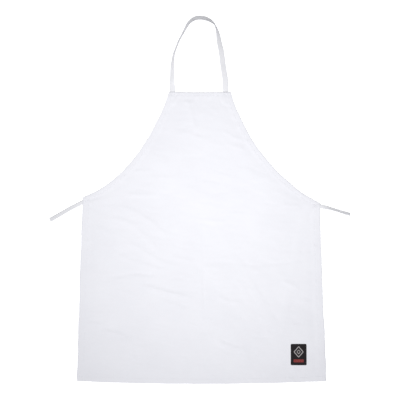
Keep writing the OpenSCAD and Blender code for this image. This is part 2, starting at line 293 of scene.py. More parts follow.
def half_width(y):
    """Half the cut's width at a height y, from the bottom corners to the bib's top."""
    side = WAIST_X + SIDE_SLOPE * (WAIST_Y - y)
    arm = ARM_C[0] - ARM_R[0] * np.sqrt(np.maximum(1 - ((ARM_C[1] - y) / ARM_R[1]) ** 2, 0))
    return np.where(y > WAIST_Y, arm, side)


def bottom_line(x):
    """Height of the bottom edge of the cut."""
    return CORNER_Y - (CORNER_Y - BOTTOM_Y) * (1 - np.minimum(np.abs(x) / CORNER_X, 1) ** 2)


def to_edges(x, y):
    """Distances in from the side edge, the armhole, the top and the bottom."""
    side = (WAIST_X + SIDE_SLOPE * (WAIST_Y - y) - np.abs(x)) * math.cos(math.atan(SIDE_SLOPE))
    return side, in_from_armhole(x, y), TOP_Y - y, y - bottom_line(x)


HEM_WIDTHS = (SIDE_HEM_W, ARM_HEM_W, TOP_HEM_W, BOTTOM_HEM_W)
HEM_STEP = 12 * MM      # how far the cloth takes to come down off a hem
LOFT = 1.3 * MM         # how far the cloth stands off the table away from its hems
TIE_LIFT = 1.5 * MM     # how far it stands off over the hidden ties
STITCH_IN = 1.5 * MM    # the rows of stitches run this far inside a hem's inner edge
RIM_W = 2.6 * MM        # the width and drop of the rounded fold at the edge
RIM_DROP = 1.5 * MM
HEM_TILT = (0.8, 1.0, 0.8, 0.1)     # how much each hem leans out toward its edge
TILT_RISE = 1.0 * MM    # the height of that lean, and half the width that it takes up
TILT_W = 14 * MM
AIR = 0.12 * MM         # the least gap between the cloth's back and its hem
LOFT_IN = 30 * MM       # how far in from the hems the full loft is reached
PUCKER_W = 9 * MM       # how far the puckers spread on each side of a hem's inner edge
# The puckers: height and spacing in mm, how far they slant, and seed
PUCKERS = [(0.45, 6.5, 0.6, 20), (0.25, 2.6, -0.4, 30)]
# Waves in the cloth: height in mm, length along and across, tilt and seed
BROAD_WAVES = [(1.0, 0.150, 0.075, -0.15, 40), (0.32, 0.060, 0.024, -0.2, 41)]
FINE_WAVES = [(0.20, 0.034, 0.011, -0.12, 42), (0.10, 0.018, 0.006, -0.1, 43)]


def creases(x, y, kinds):
    """Height that a list of creases adds to the face at a point."""
    total = np.zeros(np.shape(x))
    for points, height, width in kinds:
        d, share = to_line(x, y, points)
        ends = ease(np.minimum(share, 1 - share) * 4 + 0.05)
        total += height * MM * ends * np.exp(-((d / (width * MM)) ** 2))
    return total


def small_creases():
    """Short soft creases that every washed and folded cloth has, mostly lying across the apron."""
    rng = np.random.default_rng(SEED)
    made = []
    for _ in range(SMALL_CREASES):
        y = rng.uniform(BOTTOM_Y + SMALL_IN, TOP_Y - SMALL_IN)
        x = rng.uniform(-0.95, 0.95) * float(half_width(y))
        half = rng.uniform(*SMALL_HALF_L)
        tilt = rng.normal(0, 0.16) - 0.22 * (0.3 - x / CORNER_X)
        bend = rng.normal(0, 3 * MM)
        c, s = math.cos(tilt) * half, math.sin(tilt) * half
        points = [(x - c, y - s), (x + bend * s / half, y + bend), (x + c, y + s)]
        made.append((points, rng.uniform(*SMALL_RISE) * rng.choice([-1, 1]), rng.uniform(*SMALL_W)))
    return made


CREASES += small_creases()


def over_tapes(x, y):
    """How much of a point lies over a hidden tape, from 0 to 1 with soft shoulders."""
    low = np.array(TAIL_ROUTE[-1])
    end = low + TAIL_UP / np.linalg.norm(TAIL_UP) * TAIL_BACK
    d, _ = to_line(np.abs(x), y, TAIL_ROUTE[2:] + [tuple(end)])
    over = 1 - ease((d - 0.6 * TIE_W) / (14 * MM))
    for root_x in STRAP_SKEW - STRAP_ROOT_X, STRAP_SKEW + STRAP_ROOT_X:
        d, _ = to_line(x, y, [(root_x, TOP_Y), (root_x, STRAP_HINGE_Y - STRAP_END_L)])
        over = np.maximum(over, 1 - ease((d - 0.6 * STRAP_W) / (9 * MM)))
    return over


def waves(x, y, kinds):
    """Sum of some ripples, in mm."""
    return sum(height * ripple(x, y, *shape) for height, *shape in kinds)


def face_height(x, y):
    """Height of the cloth's face over the table at a point of the flat cut."""
    edges = to_edges(x, y)
    layers = np.zeros(np.shape(x))
    calm = np.ones(np.shape(x))
    pucker = np.zeros(np.shape(x))
    seams = (y, y, x, x)
    for k, (d, w, s) in enumerate(zip(edges, HEM_WIDTHS, seams)):
        folded = 1 - ease((d - w) / HEM_STEP)
        layers = np.maximum(layers, folded)
        calm = np.minimum(calm, 0.25 + 0.75 * ease(d / (3 * w)))
        side = np.sign(x) * 0.1
        near = np.exp(-(((d - w) / PUCKER_W) ** 2))
        for height, step, slant, seed in PUCKERS:
            pucker += height * MM * near * wobble(s + slant * d + side, step * MM, seed + k)
        pucker -= 0.22 * MM * np.exp(-(((d - w + STITCH_IN) / (1.3 * MM)) ** 2))
    sharp = creases(x, y, CREASES) + waves(x, y, FINE_WAVES) * MM
    loose = (waves(x, y, BROAD_WAVES) * MM + np.interp(y, CREASE_AT, CREASE_BY) * sharp) * calm
    pucker += creases(x, y, HEM_CREASES)
    inside = ease(np.minimum.reduce([(d - w) / LOFT_IN for d, w in zip(edges, HEM_WIDTHS)]))
    tapes = TIE_LIFT * over_tapes(x, y)
    raised = np.maximum(LOFT * inside, tapes) + loose
    raised = np.maximum(raised, tapes + 0.3 * loose)
    z = CLOTH_T + AIR + HEM_T * (0.5 + 0.5 * layers)
    z = z + np.maximum(raised, 0) * (1 - 0.6 * layers) + pucker
    z = np.maximum(z, CLOTH_T + HEM_T * layers * 0.85)
    for d, tilt in zip(edges, HEM_TILT):
        z = z + TILT_RISE * tilt * (ease((d + TILT_W) / (2 * TILT_W)) - 0.5) * (1 - 0.6 * inside)
    nearest = 1 - np.clip(np.minimum.reduce(edges) / RIM_W, 0, 1)
    return z - RIM_DROP * (1 - np.sqrt(1 - nearest**2))


def laid(x, y):
    """Where a point of the flat cut lies on the table: a real apron never lies quite square."""
    span = TOP_Y - BOTTOM_Y
    up = (y - BOTTOM_Y) / span
    shift = np.interp(up, LEAN_AT, LEAN)
    skew = np.exp(-(((y - WAIST_Y) / SKEW_REACH) ** 2))
    edge = np.minimum.reduce(to_edges(x, y))
    loose_edge = np.exp(-np.maximum(edge, 0) / WAVER_IN)
    side = np.sign(x)
    rise, step = SIDE_WAVER
    dx = shift + side * loose_edge * rise * wobble(y + side * 0.3, step, 50)
    dy = CORNER_SKEW * (0.12 - x / WAIST_X) * skew
    for s, rise in CORNER_LIFT.items():
        dy = dy + rise * np.exp(-((x - s * WAIST_X) ** 2 + (y - WAIST_Y) ** 2) / LIFT_REACH**2)
    dy = dy - SAG * ease((y - TOP_Y + SAG_REACH) / SAG_REACH) * (1 - (x / SAG_HALF_W) ** 2)
    rise, step = END_WAVER
    dy = dy + loose_edge * rise * wobble(x + 0.2, step, 51)
    return x + dx, y + dy


def on_face(x, y, lift=0.0):
    """Points on the laid cloth's face, lifted by some distance along its normal."""
    x, y = np.asarray(x, float), np.asarray(y, float)
    h = 1.2 * MM

    def at(px, py):
        lx, ly = laid(px, py)
        return np.stack([lx, ly, face_height(px, py)], -1)

    across = at(x + h, y) - at(x - h, y)
    along = at(x, y + h) - at(x, y - h)
    normal = np.cross(across, along)
    normal /= np.linalg.norm(normal, axis=-1, keepdims=True)
    return at(x, y) + normal * np.asarray(lift)[..., None], normal


# ---- Mesh helpers ----

def add_mesh(name, verts, faces, material, uv=None):
    mesh = bpy.data.meshes.new(name)
    mesh.from_pydata([tuple(map(float, v)) for v in verts], [], [tuple(map(int, f)) for f in faces])
    if uv is not None:
        layer = mesh.uv_layers.new(name="Weave")
        loops = np.zeros(len(mesh.loops), int)
        mesh.loops.foreach_get("vertex_index", loops)
        layer.data.foreach_set("uv", np.asarray(uv, np.float32)[loops].ravel())
    mesh.polygons.foreach_set("use_smooth", [True] * len(mesh.polygons))
    mesh.materials.append(material)
    mesh.update()
    obj = bpy.data.objects.new(name, mesh)
    bpy.context.scene.collection.objects.link(obj)
    return obj


def slab_mesh(name, top, bottom, uv, material):
    """A closed sheet between two grids of points, with its rim joined round."""
    rows, cols = top.shape[:2]
    n = rows * cols
    index = np.arange(n).reshape(rows, cols)
    quads = np.stack([index[:-1, :-1], index[:-1, 1:], index[1:, 1:], index[1:, :-1]], -1).reshape(-1, 4)
    rim = np.concatenate([index[0, :], index[1:, -1], index[-1, -2::-1], index[-2:0:-1, 0]])
    after = np.roll(rim, -1)
    walls = np.stack([rim, rim + n, after + n, after], -1)
    faces = np.concatenate([quads, quads[:, ::-1] + n, walls])
    verts = np.concatenate([top.reshape(-1, 3), bottom.reshape(-1, 3)])
    uvs = np.concatenate([uv.reshape(-1, 2)] * 2)
    return add_mesh(name, verts, faces, material, uvs)


def strip_mesh(name, centres, across, width, thickness, material, cols=6):
    """A flat woven tape along centres, whose width runs along across at each of them."""
    centres, across = np.asarray(centres, float), np.asarray(across, float)
    run = np.gradient(centres, axis=0)
    run /= np.linalg.norm(run, axis=1, keepdims=True)
    across = across / np.linalg.norm(across, axis=1, keepdims=True)
    face = np.cross(run, across)
    face /= np.linalg.norm(face, axis=1, keepdims=True)
    gone = np.concatenate([[0], np.cumsum(np.linalg.norm(np.diff(centres, axis=0), axis=1))])
    v = np.linspace(-0.5, 0.5, cols + 1)
    # The woven selvedges are a little thicker than the middle, and their corners are round.
    half = thickness / 2 * np.where(np.abs(v) > 0.499, 0.55, np.where(np.abs(v) > 0.3, 1.1, 0.95))
    mid = centres[:, None] + across[:, None] * (v * width)[None, :, None]
    top = mid + face[:, None] * half[None, :, None]
    bottom = mid - face[:, None] * half[None, :, None]
    uv = np.stack(np.broadcast_arrays(v[None, :] * width, gone[:, None]), -1)
    return slab_mesh(name, top[:, ::-1], bottom[:, ::-1], uv[:, ::-1], material)


def stitch_mesh(name, lines, material, pitch=3.2 * MM, length=2.5 * MM, radius=0.24 * MM):
    """Separate lockstitches along lines of points and face normals, each dipping into the cloth."""
    sides, rings = 6, 5
    turn = np.linspace(0, 2 * math.pi, sides, endpoint=False)
    t = np.linspace(-1, 1, rings)
    fat = np.array([0.35, 0.9, 1.0, 0.9, 0.35])
    verts, faces = [], []
    base = 0
    for points, normals in lines:
        gone = np.concatenate([[0], np.cumsum(np.linalg.norm(np.diff(points, axis=0), axis=1))])
        for s in np.arange(pitch / 2, gone[-1], pitch):
            at = [np.interp([s - length / 2, s + length / 2], gone, points[:, k]) for k in range(3)]
            a, b = np.array(at).T
            n = np.array([np.interp(s, gone, normals[:, k]) for k in range(3)])
            run = (b - a) / max(np.linalg.norm(b - a), 1e-9)
            side = np.cross(n, run)
            ring = []
            for k in range(rings):
                centre = (a + b) / 2 + (b - a) / 2 * t[k] + n * radius * (0.75 - 1.1 * t[k] ** 4)
                r = radius * fat[k]
                ring.append(centre + r * (np.outer(np.cos(turn), side) + np.outer(np.sin(turn), n)))
            verts.append(np.concatenate(ring))
            for k in range(rings - 1):
                for j in range(sides):
                    q = base + k * sides + j
                    p = base + k * sides + (j + 1) % sides
                    faces.append((q, p, p + sides, q + sides))
            faces.append(tuple(base + j for j in range(sides - 1, -1, -1)))
            faces.append(tuple(base + (rings - 1) * sides + j for j in range(sides)))
            base += rings * sides
    return add_mesh(name, np.concatenate(verts), faces, material)


def smooth_route(points, steps):
    """Catmull-Rom points through a route of any number of values per point."""
    p = np.asarray(points, float)
    out = []
    for i in range(len(p) - 1):
        a, b, c, d = p[max(i - 1, 0)], p[i], p[i + 1], p[min(i + 2, len(p) - 1)]
        for s in range(steps):
            t = s / steps
            out.append(0.5 * (2 * b + (c - a) * t + (2 * a - 5 * b + 4 * c - d) * t**2
                              + (3 * b - a - 3 * c + d) * t**3))
    return np.array(out + [p[-1]])


def route_length(points):
    return float(np.linalg.norm(np.diff(points, axis=0), axis=1).sum())


# ---- Materials ----

class Nodes:
    """A short way to build a material's node tree."""

    def __init__(self, name, **sockets):
        self.material = bpy.data.materials.new(name)
        self.material.use_nodes = True
        self.tree = self.material.node_tree
        self.bsdf = next(n for n in self.tree.nodes if n.type == "BSDF_PRINCIPLED")
        for socket, value in sockets.items():
            self.bsdf.inputs[socket.replace("_", " ")].default_value = value

    def add(self, kind, **settings):
        node = self.tree.nodes.new(kind)
        for key, value in settings.items():
            if key.startswith("in_"):
                node.inputs[key[3:].replace("_", " ")].default_value = value
            else:
                setattr(node, key, value)
        return node

    def link(self, out, into):
        self.tree.links.new(out, into)
        return self

    def math(self, operation, *values):
        node = self.add("ShaderNodeMath", operation=operation)
        for socket, value in zip(node.inputs, values):
            if isinstance(value, (int, float)):
                socket.default_value = value
            else:
                self.link(value, socket)
        return node.outputs[0]

    def mix(self, factor, dark, light):
        node = self.add("ShaderNodeMix", data_type="RGBA")
        self.link(factor, node.inputs["Factor"])
        node.inputs[6].default_value = (*dark, 1)
        node.inputs[7].default_value = (*light, 1)
        return node.outputs[2]

    def stripes(self, scale, angle, source):
        """Soft stripes from 0.5 to 1.5 across a direction, scale of them to a metre."""
        turned = self.add("ShaderNodeMapping")
        turned.inputs["Rotation"].default_value = (0, 0, angle)
        turned.inputs["Scale"].default_value = (scale, scale, scale)
        self.link(source, turned.inputs["Vector"])
        split = self.add("ShaderNodeSeparateXYZ")
        self.link(turned.outputs[0], split.inputs[0])
        wave = self.math("SINE", self.math("MULTIPLY", split.outputs[0], 2 * math.pi))
        return self.math("ADD", self.math("MULTIPLY_ADD", wave, 0.5, 0.5), 0.5)

    def noise(self, scale, source, detail):
        node = self.add("ShaderNodeTexNoise", in_Scale=scale, in_Detail=detail)
        self.link(source, node.inputs["Vector"])
        return node.outputs["Fac"]

    def bump(self, height, strength, distance):
        node = self.add("ShaderNodeBump", in_Strength=strength, in_Distance=distance)
        self.link(height, node.inputs["Height"])
        return node.outputs["Normal"]


YARNS_PER_RIB = 1.6
SLUBS_PER_M = 420
PATCHES_PER_M = 9       # soft patches of tone
TWISTS_PER_M = 2600     # turns of a sewing thread


def woven(name, dark, light, pitch, angle, gloss=0.25, sheen=0.25, herringbone=0.0):
    """A twill weave: diagonal ribs crossed by the yarns, with slubs and soft patches of tone. Its colour
    darkens where the relief sinks, as painted shade in the weave's hollows.
    """
    n = Nodes(name, Roughness=0.86, Sheen_Weight=sheen, Sheen_Roughness=0.45)
    n.bsdf.inputs["Specular IOR Level"].default_value = gloss
    n.bsdf.inputs["Sheen Tint"].default_value = (*light, 1)
    uv = n.add("ShaderNodeUVMap", uv_map="Weave").outputs[0]
    if herringbone:
        split = n.add("ShaderNodeSeparateXYZ")
        n.link(uv, split.inputs[0])
        folded = n.math("PINGPONG", n.math("ADD", split.outputs[0], 0.1), herringbone)
        joined = n.add("ShaderNodeCombineXYZ")
        n.link(folded, joined.inputs[0]).link(split.outputs[1], joined.inputs[1])
        uv = joined.outputs[0]
    ribs = n.stripes(1 / pitch, angle, uv)
    yarns = n.stripes(YARNS_PER_RIB / pitch, 0.0, uv)
    slubs = n.noise(SLUBS_PER_M, uv, 3)
    patches = n.noise(PATCHES_PER_M, uv, 4)
    relief = n.math("ADD", n.math("MULTIPLY", ribs, 0.65), n.math("MULTIPLY", yarns, 0.2))
    relief = n.math("ADD", relief, n.math("MULTIPLY", slubs, 0.5))
    # The colour goes toward dark where the relief sinks, painted shade in the weave's hollows, and in
    # random soft patches of tone.
    tone = n.math("ADD", n.math("MULTIPLY", relief, 0.45), n.math("MULTIPLY", patches, 0.55))
    n.link(n.mix(tone, dark, light), n.bsdf.inputs["Base Color"])
    n.link(n.bump(relief, 0.55, 0.16 * MM), n.bsdf.inputs["Normal"])
    return n.material


def thread(name, dark, light):
    """A twisted yarn, its colour darker between the twists, painted shade."""
    n = Nodes(name, Roughness=0.55, Sheen_Weight=0.3)
    n.bsdf.inputs["Specular IOR Level"].default_value = 0.35
    where = n.add("ShaderNodeTexCoord").outputs["Object"]
    twist = n.stripes(TWISTS_PER_M, 0.7, where)
    # The colour goes dark where the twist's bump sinks, painted shade between the twists.
    n.link(n.mix(twist, dark, light), n.bsdf.inputs["Base Color"])
    n.link(n.bump(twist, 0.4, 0.06 * MM), n.bsdf.inputs["Normal"])
    return n.material


# SHADE is the twill's colour in the hollows of its weave, painted shade, and in its random darker
# patches of tone.
WHITE, SHADE = (0.796, 0.796, 0.838), (0.696, 0.697, 0.748)
TWILL = woven("apron_twill", SHADE, WHITE, 0.85 * MM, math.radians(63))
TAPE = woven("tape_herringbone", (0.66, 0.66, 0.69), (0.78, 0.78, 0.81), 1.0 * MM,
             math.radians(50), herringbone=2.0 * MM)
SEWING = thread("sewing_thread", (0.60, 0.60, 0.65), (0.78, 0.78, 0.82))
LABEL = woven("label_damask", (0.006, 0.005, 0.006), (0.022, 0.019, 0.021), 0.7 * MM,
              math.radians(90), gloss=0.10, sheen=0.03)
GREY_YARN = thread("grey_yarn", (0.25, 0.235, 0.235), (0.46, 0.43, 0.43))
RED_YARN = thread("red_yarn", (0.20, 0.012, 0.012), (0.36, 0.03, 0.028))
BLACK_YARN = thread("black_thread", (0.010, 0.009, 0.010), (0.03, 0.028, 0.03))


# ---- Camera ----

VIEW_W = 1.184      # how much of the table the picture takes in
SENSOR, LENS = 36.0, 85.0
camera = bpy.data.objects.new("camera", bpy.data.cameras.new("camera"))
camera.data.sensor_width = SENSOR
camera.data.lens = LENS
camera.location = (0, 0, VIEW_W * LENS / SENSOR)
bpy.context.scene.collection.objects.link(camera)
bpy.context.scene.camera = camera


# ---- Neck strap and waist ties ----

def make_neck_strap():
    """The strap from one sewn end, round the free loop, to the other."""
    loop = smooth_route(STRAP_ROUTE, 8)
    sewn = np.linspace(-STRAP_END_L, -2 * MM, SEWN_ROWS)
    root_x, no_roll = np.full(SEWN_ROWS, STRAP_ROOT_X), np.zeros(SEWN_ROWS)
    left = np.stack([-root_x, sewn, no_roll], 1)
    right = np.stack([root_x, sewn[::-1], no_roll], 1)
    route = np.concatenate([left, loop, right])
    run = np.gradient(route[:, :2], axis=0)
    run /= np.linalg.norm(run, axis=1, keepdims=True)
    out = np.stack([-run[:, 1], run[:, 0], np.zeros(len(run))], 1)
    roll = np.radians(route[:, 2])
    across = np.cos(roll)[:, None] * out - np.sin(roll)[:, None] * np.array([0, 0, 1.0])
    half = STRAP_W / 2 * np.abs(np.sin(roll)) + CLOTH_T / 2 * np.abs(np.cos(roll))
    lift = CLOTH_T * np.clip(1 - route[:, 1] / STRAP_DROP_L, 0, 1)
    waver = 1 + wobble(np.arange(len(route)) * 4 * MM, 18 * MM, 60)
    soft = STRAP_STAND * waver * ease(route[:, 1] / STRAP_AWAY)
    x, y = laid(route[:, 0] + STRAP_SKEW, STRAP_HINGE_Y + route[:, 1])
    centres = np.stack([x, y, half + lift + soft], 1)
    strap = strip_mesh("neck_strap_tape", centres, across, STRAP_W, CLOTH_T, TAPE, 8)
    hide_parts("neck_strap", "neck_strap_left_end", "neck_strap_right_end")
    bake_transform(strap)


make_neck_strap()


FLAT_FOLD_ROWS = 7


def flat_fold(at, come, go, low, high):
    """Rows of a tape that folds flat: it turns over about a line and leaves in another direction."""
    crease = come + go
    crease = crease / np.linalg.norm(crease)
    out = come - crease * (come @ crease)
    out = out / np.linalg.norm(out)
    rows = []
    for a in np.linspace(-math.pi / 2, math.pi / 2, FLAT_FOLD_ROWS):
        z = (low + high) / 2 + (high - low) / 2 * math.sin(a)
        p = at + out * (high - low) / 2 * math.cos(a)
        rows.append((np.array([p[0], p[1], z]), np.array([crease[0], crease[1], 0.0])))
    return rows


def make_tie(side):
    """One waist tie from its sewn end, out to the folded tip, back under itself and away."""
    s = 1 if side == "right" else -1
    full_roll = math.radians(TIE_ROLL[side])
    root = np.array([s * TIE_HINGE_X, TIE_ROOT_Y])
    root_dx, root_dy = laid(s * WAIST_X, TIE_ROOT_Y)
    root_laid = root + [root_dx - s * WAIST_X, root_dy - TIE_ROOT_Y - TIE_DROP[side]]
    tip = np.array(TIE_TIPS[side])
    along = (tip - root_laid) / np.linalg.norm(tip - root_laid)
    uphill = s * np.array([-along[1], along[0], 0])
    up, on = np.array([0, 0, 1.0]), np.array([*along, 0])
    upper, lower = 1.5 * CLOTH_T, 0.5 * CLOTH_T
    rows = []

    def flat(points, z, turned=1):
        heads = np.gradient(np.asarray(points, float), axis=0)
        heads /= np.linalg.norm(heads, axis=1, keepdims=True)
        for p, h in zip(points, heads):
            rows.append((np.array([p[0], p[1], z]), turned * np.array([-h[1], h[0], 0.0])))

    def spaced(a, b):
        count = max(2, int(math.dist(a, b) / TIE_STEP))
        return [a + (b - a) * t for t in np.linspace(0, 1, count)]

    # The sewn end, then the run out, where the tape leans over and its two layers part a little
    flat(spaced(root_laid - [s * TIE_END_L, 0], root_laid - [s * 4 * MM, 0]), upper)
    out = spaced(root_laid + along * TIE_GAP, tip - along * 1.5 * MM)
    frames = []
    for i, p in enumerate(out):
        gone = i / (len(out) - 1)
        lean = np.interp(gone * math.dist(root_laid, tip), (0, TIE_LEAN_REACH), (TIE_LEAN_START, 1))
        roll = full_roll * lean
        sway = TIE_SWAY * math.sin(5 * gone) * ease(gone * 4)
        across = math.cos(roll) * uphill - math.sin(roll) * up
        face = math.sin(roll) * uphill + math.cos(roll) * up
        z = TIE_W / 2 * math.sin(roll) + CLOTH_T * math.cos(roll)
        part = CLOTH_T / 2 + TIE_PART * ease((gone - 0.45) / 0.5)
        centre = np.array([p[0], p[1], z]) + uphill * sway + up * part * (1 - CLOTH_T / 2 / part)
        frames.append((centre, across * s, face, part))
    rows += [(c + f * part, a) for c, a, f, part in frames]
    c, a, f, part = frames[-1]
    for turn in np.linspace(math.pi / 2, -math.pi / 2, TIP_ROWS)[1:-1]:
        rows.append((c + on * part * math.cos(turn) * TIP_BULGE + f * part * math.sin(turn), a))
    rows += [(c - f * part, a) for c, a, f, part in frames[::-1]]
    # Back under the corner and down behind the skirt
    tail = [np.array([s * x, y]) for x, y in TAIL_ROUTE]
    tail[0] = root_laid
    for i, share in enumerate(TAIL_FOLLOWS, 1):
        tail[i] = tail[i] + (root_laid - root) * share
    flat(list(smooth_route(tail[:6], 3)) + spaced(tail[5], tail[6])[1:], lower, -1)
    # The flat fold at the lowest point, and the run back up to the cut end
    come = (tail[6] - tail[5]) / np.linalg.norm(tail[6] - tail[5])
    go = np.array([s * TAIL_UP[0], TAIL_UP[1]]) / np.linalg.norm(TAIL_UP)
    turn = flat_fold(tail[6] + come * 3 * MM, come, go, lower, upper)
    sign = np.sign(turn[0][1][:2] @ rows[-1][1][:2])
    rows += [(p, w * sign) for p, w in turn]
    used = route_length(np.array([p for p, _ in rows]))
    start = turn[-1][0][:2] + go * TIE_GAP
    last = start + go * (TIE_LENGTH - used - TIE_GAP)
    perp = np.array([-go[1], go[0]])
    perp *= np.sign(perp @ rows[-1][1][:2])
    width_way = np.array([*perp, 0.0])
    rows += [(np.array([*p, upper]), width_way) for p in spaced(start, last)]
    centres = np.array([p for p, _ in rows])
    widths = np.array([w for _, w in rows])
    tie = strip_mesh(f"{side}_waist_tie", centres, widths, TIE_W, CLOTH_T * 0.9, TAPE)
    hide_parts(f"{side}_tie", f"{side}_tie_end", f"{side}_tie_tail")
    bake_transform(tie)


make_tie("left")
make_tie("right")


# ---- Cloth ----

# Where the rows and columns of the cloth's mesh lie over a hem, as shares of its width
HEM_CUTS = np.array([0, 0.012, 0.04, 0.08, 0.13, 0.2, 0.34, 0.52, 0.7, 0.82, 0.9, 1.0])
BAND_X, BAND_Y = 150, 200       # columns and rows between the hems
WAIST_BLEND = 35 * MM   # how far below the waist the inner edge turns to follow the armhole
BOW_FULL, BOW_GONE = 0.05, 0.2      # rows bow like the bottom edge, then come straight over this


def inner_width(y):
    """Half the width between the inner edges of the side or armhole hems."""
    side = half_width(np.minimum(y, WAIST_Y)) - SIDE_HEM_W
    seam_x, seam_y = armhole_curve(np.linspace(ARM_LOW + 0.2, ARM_TOP - 0.2, 600), ARM_HEM_W)
    arm = np.interp(y, seam_y, seam_x)
    w = ease((y - WAIST_Y + WAIST_BLEND) / WAIST_BLEND)
    return side * (1 - w) + np.maximum(arm, 0.02) * w


def cloth_grid():
    """The flat cut as a grid whose columns follow the hems."""
    bottom = BOTTOM_Y + HEM_CUTS * BOTTOM_HEM_W
    top = TOP_Y - HEM_CUTS[::-1] * TOP_HEM_W
    level = np.concatenate([bottom[:-1], np.linspace(bottom[-1], top[0], BAND_Y + 1), top[1:]])
    edge, inner = half_width(np.maximum(level, CORNER_Y)), inner_width(np.maximum(level, CORNER_Y))
    hem = HEM_CUTS[:-1]
    middle = np.linspace(-1, 1, BAND_X + 1)
    on_edge = np.concatenate([-(1 - hem), 0 * middle, (1 - hem)[::-1]])
    on_inner = np.concatenate([-hem, middle, hem[::-1]])
    x = edge[:, None] * on_edge + inner[:, None] * on_inner
    bow = 1 - ease((level - (BOTTOM_Y + BOW_FULL)) / BOW_GONE)
    y = level[:, None] + (bottom_line(x) - BOTTOM_Y) * bow[:, None]
    return x, y


LEAST_T = 0.02 * MM     # a sheet's upper face stays at least this far above the table


def add_skin(name, x, y, top_z, bottom_z, uv):
    """A closed sheet of twill over a grid of the flat cut, laid out between two heights."""
    lx, ly = laid(x, y)
    top = np.stack([lx, ly, np.maximum(top_z, LEAST_T)], -1)
    bottom = np.stack([lx, ly, np.maximum(bottom_z, 0)], -1)
    skin = slab_mesh(name, top, bottom, np.stack(uv, -1), TWILL)
    return skin


def over_fold(piece):
    """Bakes the transform of a piece that spans the skirt and the bib."""
    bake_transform(piece)


def make_cloth():
    """The whole front in one piece, spanning the fold line."""
    x, y = cloth_grid()
    z = face_height(x, y)
    made = add_skin("apron_cloth", x, y, z, z - CLOTH_T, (x, y))
    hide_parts("skirt_panel", "bib_panel")
    over_fold(made)
    return made


cloth = make_cloth()

HEM_INSET = 0.8 * MM    # how far a hem's outer fold stays inside the cloth's edge
CROWN_SHARE = 0.06      # share of a hem's width that its round outer fold takes up
# Where the rows of a hem's mesh lie, as shares of its width, closer together at its folds
HEM_ROWS = np.array([0.0, 0.04, 0.12, 0.3, 0.6, 0.88, 0.97, 1.0])


def add_hem(name, x, y, d_share, node, body):
    """A folded hem under the cloth's edge: two more layers of cloth with a round outer fold."""
    under = face_height(x, y) - CLOTH_T
    crown = np.sqrt(np.clip(1 - (1 - np.clip(d_share / CROWN_SHARE, 0, 1)) ** 2, 0, 1))
    hem = add_skin(name, x, y, under - 0.01 * MM, under * (1 - crown) * 0.8, (y, x))
    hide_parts(node)
    if body:
        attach(hem, body)
    else:
        over_fold(hem)
    return hem


def side_hem(side, s):
    """A side hem, from above the bottom hem to below the tie."""
    y = np.linspace(CORNER_Y + BOTTOM_HEM_W * 0.2, WAIST_Y - 0.03, 130)[:, None]
    d = (HEM_INSET + HEM_ROWS * (SIDE_HEM_W - HEM_INSET))[None, :]
    x = s * (half_width(y) - d)
    flip = slice(None, None, s)
    return add_hem(f"{side}_side_fold", x[:, ::-1][:, flip], np.broadcast_to(y, x.shape),
                   np.broadcast_to(HEM_ROWS[::-1][flip], x.shape), f"{side}_side_hem", "skirt")


def armhole_hem(side, s):
    """An armhole's hem, from the waist corner to the top hem."""
    first = armhole_angle(*max(corners_of("right_armhole_hem"), key=lambda p: p[0]))
    inset = HEM_INSET + HEM_ROWS * (ARM_HEM_W - HEM_INSET)
    # Each row of the hem stops where it meets the top hem.
    angle = np.linspace(first, ARM_TOP - 0.2, 400)
    last = np.array([np.interp(TOP_Y - TOP_HEM_W, armhole_curve(angle, d)[1], angle) for d in inset])
    x, y = armhole_curve(first + np.linspace(0, 1, 130)[:, None] * (last - first), inset)
    flip = slice(None, None, s)
    return add_hem(f"{side}_armhole_fold", s * x[:, ::-1][:, flip], y[:, ::-1][:, flip],
                   np.broadcast_to(HEM_ROWS[::-1][flip], x.shape), f"{side}_armhole_hem", None)


def bottom_hem():
    x = np.linspace(-CORNER_X + HEM_INSET, CORNER_X - HEM_INSET, 200)[None, :]
    d = (HEM_INSET + HEM_ROWS * (BOTTOM_HEM_W - HEM_INSET))[:, None]
    y = bottom_line(x) + d
    return add_hem("bottom_fold", np.broadcast_to(x, y.shape), y,
                   np.broadcast_to(HEM_ROWS[:, None], y.shape), "bottom_hem", "skirt")


def top_hem():
    d = HEM_INSET + HEM_ROWS[::-1] * (TOP_HEM_W - HEM_INSET)
    x = np.linspace(-1, 1, 90)[None, :] * (half_width(TOP_Y - d) - HEM_INSET)[:, None]
    y = TOP_Y - d[:, None] + 0 * x
    return add_hem("top_fold", x, y, np.broadcast_to(HEM_ROWS[::-1][:, None], y.shape), "top_hem", "bib")


hems = [bottom_hem(), top_hem()]
for side, s in (("left", -1), ("right", 1)):
    hems += [side_hem(side, s), armhole_hem(side, s)]


# ---- Stitches ----

TACK = {"pitch": 2.2 * MM, "length": 1.8 * MM}     # the closer stitches that hold a tape down
TACK_IN = 2 * MM        # how far inside the tape's edges they run


def seam(x, y):
    """Points and normals for a row of stitches just clear of the face."""
    return on_face(x, y, 0.02 * MM)


def add_seam(name, lines, node, body, material=SEWING, **how):
    """Stitches that ride on one body, or are baked in place where body is None."""
    piece = stitch_mesh(name, lines, material, **how)
    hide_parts(node)
    if body:
        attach(piece, body)
    else:
        over_fold(piece)


RECTANGLE = [(-1, -1), (1, -1), (1, 1), (-1, 1)]        # which way its corners lie from its middle


def box_of_stitches(cx, cy, w, h):
    """A closed rectangle of stitches with its two diagonals."""
    c = [(cx + i * w / 2, cy + j * h / 2) for i, j in RECTANGLE]
    pairs = [(0, 1), (1, 2), (2, 3), (3, 0), (0, 2), (1, 3)]
    return [seam(*np.linspace(c[a], c[b], 12).T) for a, b in pairs]


